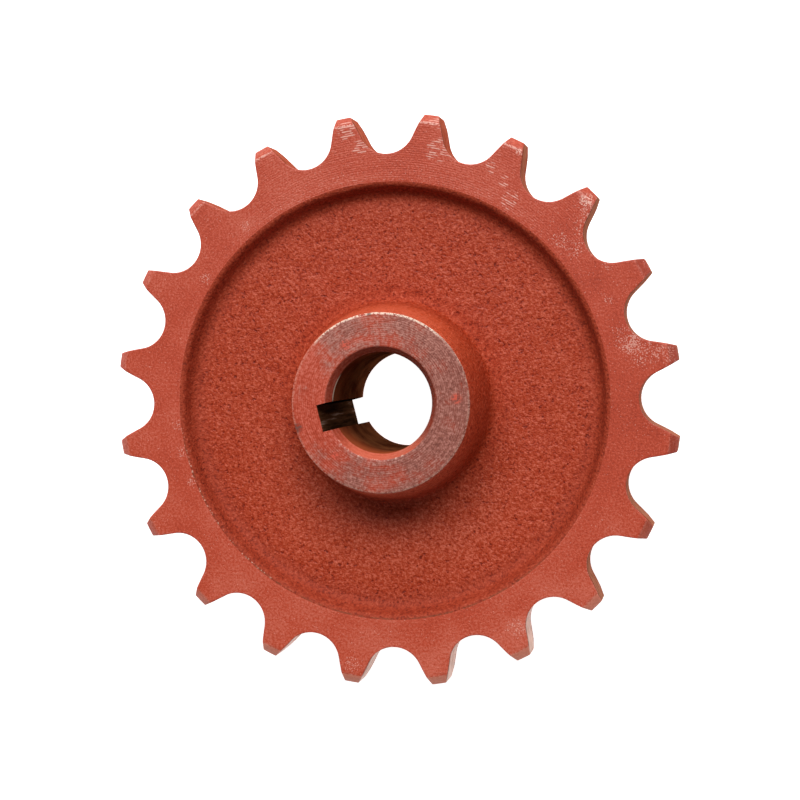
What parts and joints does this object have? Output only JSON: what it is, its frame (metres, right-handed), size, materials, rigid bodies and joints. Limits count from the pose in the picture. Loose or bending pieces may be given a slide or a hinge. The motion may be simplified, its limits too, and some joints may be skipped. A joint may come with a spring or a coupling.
{
  "type": "chain sprocket",
  "caption": "Painted cast iron roller chain sprocket: a toothed rim and a keyed hub joined by a thin recessed web.",
  "frame": {"origin": "centre of the bore at the hub's back end face, which the part lies on", "axes": "+Z along the bore axis towards the shorter, front end of the hub; +X through the centre of a tooth gap"},
  "size_m": [0.1268, 0.1268, 0.037],
  "materials": {
    "painted_casting": "red oxide primer, brushed or dipped over the sand casting and the machined faces, rubbed back to grey iron on the hub's nose and on the edges of the teeth"
  },
  "bodies": {
    "root": {"sprocket": "painted_casting"}
  },
  "joints": []
}
